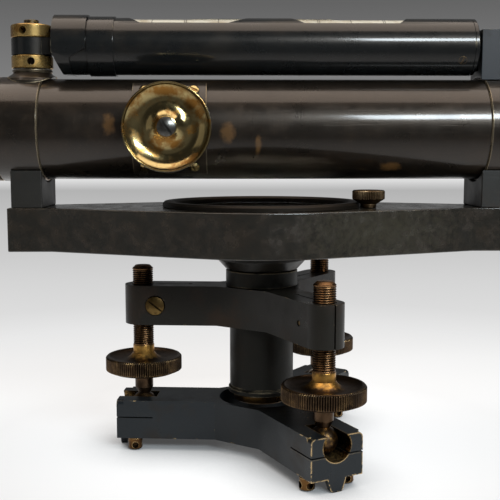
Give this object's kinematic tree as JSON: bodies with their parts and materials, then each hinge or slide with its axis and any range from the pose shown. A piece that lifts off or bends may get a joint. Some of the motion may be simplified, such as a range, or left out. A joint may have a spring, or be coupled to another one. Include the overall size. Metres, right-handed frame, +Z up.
{
  "type": "surveyor's dumpy level",
  "caption": "Old brass dumpy level: focusing telescope with a bubble tube above it, on posts over a round compass stage, turning on a three-screw levelling base.",
  "frame": {"origin": "on the vertical axis of the instrument, at the level of the floor under the lower plate's feet", "axes": "+X along the telescope towards the objective, +Z up along the vertical axis, -Y towards the focusing knob"},
  "size_m": [0.3886, 0.1306, 0.197],
  "materials": {
    "bronze": "dark lacquer, semi-gloss",
    "gunmetal": "blackened, satin, worn",
    "blue_black": "blue-black lacquer, glossy",
    "plate_grey": "blackened, satin, brass showing at the edges",
    "brass": "machined, lightly tarnished",
    "worn_brass": "lacquer worn to brass",
    "head_bronze": "knurled, old lacquer",
    "steel": "satin",
    "silvered": "silvered, matt",
    "clear_glass": "polished",
    "vial_glass": "polished, lined in cream"
  },
  "bodies": {
    "base": {"lower_plate": "plate_grey"},
    "tribrach": {"tribrach": "gunmetal", "axis_socket": "bronze", "socket_cap": "bronze"},
    "limb": {"vertical_spindle": "gunmetal", "spindle_end_nut": "worn_brass", "compass_stage": "gunmetal", "compass_dial": "silvered", "compass_pivot": "steel", "compass_glass": "clear_glass", "compass_bezel": "bronze", "eye_post": "gunmetal", "object_post": "gunmetal", "eye_collar": "bronze", "object_collar": "bronze", "telescope_tube": "bronze", "pinion_saddle": "bronze", "saddle_screw_eye_low": "brass", "saddle_screw_eye_high": "brass", "saddle_screw_object_low": "brass", "saddle_screw_object_high": "brass", "eye_end_fitting": "worn_brass", "bubble_stud": "bronze", "bubble_hinge_fork": "blue_black", "bubble_hinge_pin": "steel"},
    "needle": {"compass_needle": "steel"},
    "needle_clamp": {"needle_clamp_knob": "worn_brass"},
    "lifter": {"needle_lifter": "brass"},
    "draw": {"draw_tube": "brass", "focus_rack": "brass", "objective_cell": "bronze", "objective_lens": "clear_glass"},
    "pinion": {"focus_pinion": "steel", "focus_knob": "brass", "focus_knob_screw": "steel"},
    "reticle": {"reticle_ring": "brass"},
    "reticle_top": {"reticle_screw_top": "brass"},
    "reticle_bottom": {"reticle_screw_bottom": "brass"},
    "eyepiece": {"eyepiece_tube": "brass", "eyepiece_cap": "bronze", "eye_lens": "clear_glass"},
    "bubble": {"bubble_casing": "blue_black", "bubble_eye_cap": "blue_black", "bubble_object_cap": "blue_black", "bubble_vial": "vial_glass"},
    "nut_upper": {"capstan_nut_upper": "brass"},
    "nut_lower": {"capstan_nut_lower": "brass"},
    "level_eye": {"levelling_screw_eye": "head_bronze"},
    "clamp_eye": {"clamp_screw_eye": "brass"},
    "friction_eye_a": {"friction_screw_eye_a": "worn_brass"},
    "friction_eye_b": {"friction_screw_eye_b": "worn_brass"},
    "level_front": {"levelling_screw_front": "head_bronze"},
    "clamp_front": {"clamp_screw_front": "brass"},
    "friction_front_a": {"friction_screw_front_a": "worn_brass"},
    "friction_front_b": {"friction_screw_front_b": "worn_brass"},
    "level_back": {"levelling_screw_back": "head_bronze"},
    "clamp_back": {"clamp_screw_back": "brass"},
    "friction_back_a": {"friction_screw_back_a": "worn_brass"},
    "friction_back_b": {"friction_screw_back_b": "worn_brass"}
  },
  "joints": [
    {"name": "azimuth_turn", "type": "hinge", "parent": "tribrach", "child": "limb", "pos_m": [0, 0, 0.0796], "axis": [0, 0, 1], "continuous": true},
    {"name": "needle_swing", "type": "hinge", "parent": "limb", "child": "needle", "pos_m": [0, 0, 0.1057], "axis": [0, 0, 1], "continuous": true},
    {"name": "needle_clamp_turn", "type": "hinge", "parent": "limb", "child": "needle_clamp", "pos_m": [0.0463, -0.016, 0.1124], "axis": [0, 0, 1], "range_deg": [0, 720]},
    {"name": "needle_lift", "type": "slide", "parent": "limb", "child": "lifter", "axis": [0, 0, 1], "range_m": [0, 0.0016]},
    {"name": "focus_slide", "type": "slide", "parent": "limb", "child": "draw", "axis": [1, 0, 0], "range_m": [-0.006, 0.042]},
    {"name": "focus_turn", "type": "hinge", "parent": "limb", "child": "pinion", "pos_m": [-0.0404, 0, 0.1466], "axis": [0, -1, 0], "range_deg": [-86, 602]},
    {"name": "reticle_top_turn", "type": "hinge", "parent": "limb", "child": "reticle_top", "pos_m": [-0.1282, 0, 0.1646], "axis": [0, 0, 1], "range_deg": [-450, 450]},
    {"name": "reticle_bottom_turn", "type": "hinge", "parent": "limb", "child": "reticle_bottom", "pos_m": [-0.1282, 0, 0.1286], "axis": [0, 0, 1], "range_deg": [-450, 450]},
    {"name": "reticle_shift", "type": "slide", "parent": "limb", "child": "reticle", "axis": [0, 0, 1], "range_m": [-0.0005, 0.0005]},
    {"name": "eyepiece_slide", "type": "slide", "parent": "limb", "child": "eyepiece", "axis": [1, 0, 0], "range_m": [-0.008, 0.003]},
    {"name": "bubble_tilt", "type": "hinge", "parent": "limb", "child": "bubble", "pos_m": [0.11, 0, 0.18305], "axis": [0, 1, 0], "range_deg": [-0.08, 0.3]},
    {"name": "nut_lower_turn", "type": "hinge", "parent": "bubble", "child": "nut_lower", "pos_m": [-0.1024, 0, 0.176], "axis": [0, 0, 1], "range_deg": [-155, 575]},
    {"name": "nut_upper_turn", "type": "hinge", "parent": "bubble", "child": "nut_upper", "pos_m": [-0.1024, 0, 0.1893], "axis": [0, 0, 1], "range_deg": [-155, 575]},
    {"name": "tribrach_lift", "type": "slide", "parent": "base", "child": "tribrach", "axis": [0, 0, 1], "range_m": [-0.005, 0.005]},
    {"name": "level_eye_turn", "type": "hinge", "parent": "base", "child": "level_eye", "pos_m": [-0.05503, 0.00433, 0.0188], "axis": [0, 0, 1], "range_deg": [-1845, 1845]},
    {"name": "clamp_eye_turn", "type": "hinge", "parent": "tribrach", "child": "clamp_eye", "pos_m": [-0.04815, 0.00379, 0.06685], "axis": [-0.0785, -0.9969, 0], "range_deg": [-20, 360]},
    {"name": "friction_eye_a_turn", "type": "hinge", "parent": "base", "child": "friction_eye_a", "pos_m": [-0.05709, 0.01382, 0.0006], "axis": [0, 0, 1], "range_deg": [-90, 90]},
    {"name": "friction_eye_b_turn", "type": "hinge", "parent": "base", "child": "friction_eye_b", "pos_m": [-0.05855, -0.00472, 0.0006], "axis": [0, 0, 1], "range_deg": [-90, 90]},
    {"name": "level_front_turn", "type": "hinge", "parent": "base", "child": "level_front", "pos_m": [0.02376, -0.04982, 0.0188], "axis": [0, 0, 1], "range_deg": [-1845, 1845]},
    {"name": "clamp_front_turn", "type": "hinge", "parent": "tribrach", "child": "clamp_front", "pos_m": [0.02079, -0.04359, 0.06685], "axis": [0.9026, 0.4305, 0], "range_deg": [-20, 360]},
    {"name": "friction_front_a_turn", "type": "hinge", "parent": "base", "child": "friction_front_a", "pos_m": [0.01658, -0.05635, 0.0006], "axis": [0, 0, 1], "range_deg": [-90, 90]},
    {"name": "friction_front_b_turn", "type": "hinge", "parent": "base", "child": "friction_front_b", "pos_m": [0.03336, -0.04835, 0.0006], "axis": [0, 0, 1], "range_deg": [-90, 90]},
    {"name": "level_back_turn", "type": "hinge", "parent": "base", "child": "level_back", "pos_m": [0.03127, 0.04549, 0.0188], "axis": [0, 0, 1], "range_deg": [-1845, 1845]},
    {"name": "clamp_back_turn", "type": "hinge", "parent": "tribrach", "child": "clamp_back", "pos_m": [0.02736, 0.03981, 0.06685], "axis": [-0.8241, 0.5664, 0], "range_deg": [-20, 360]},
    {"name": "friction_back_a_turn", "type": "hinge", "parent": "base", "child": "friction_back_a", "pos_m": [0.04052, 0.04253, 0.0006], "axis": [0, 0, 1], "range_deg": [-90, 90]},
    {"name": "friction_back_b_turn", "type": "hinge", "parent": "base", "child": "friction_back_b", "pos_m": [0.02519, 0.05307, 0.0006], "axis": [0, 0, 1], "range_deg": [-90, 90]}
  ],
  "couplings": [
    {"joint": "needle_clamp_turn", "follows": "needle_lift", "rad_per_m": 7854},
    {"joint": "focus_turn", "follows": "focus_slide", "rad_per_m": 250},
    {"joint": "reticle_top_turn", "follows": "reticle_shift", "rad_per_m": -15708},
    {"joint": "reticle_bottom_turn", "follows": "reticle_shift", "rad_per_m": -15708},
    {"joint": "nut_lower_turn", "follows": "bubble_tilt", "ratio": 1906.5},
    {"joint": "nut_upper_turn", "follows": "bubble_tilt", "ratio": 1906.5},
    {"joint": "level_eye_turn", "follows": "tribrach_lift", "rad_per_m": -6431.1},
    {"joint": "level_front_turn", "follows": "tribrach_lift", "rad_per_m": -6431.1},
    {"joint": "level_back_turn", "follows": "tribrach_lift", "rad_per_m": -6431.1}
  ]
}
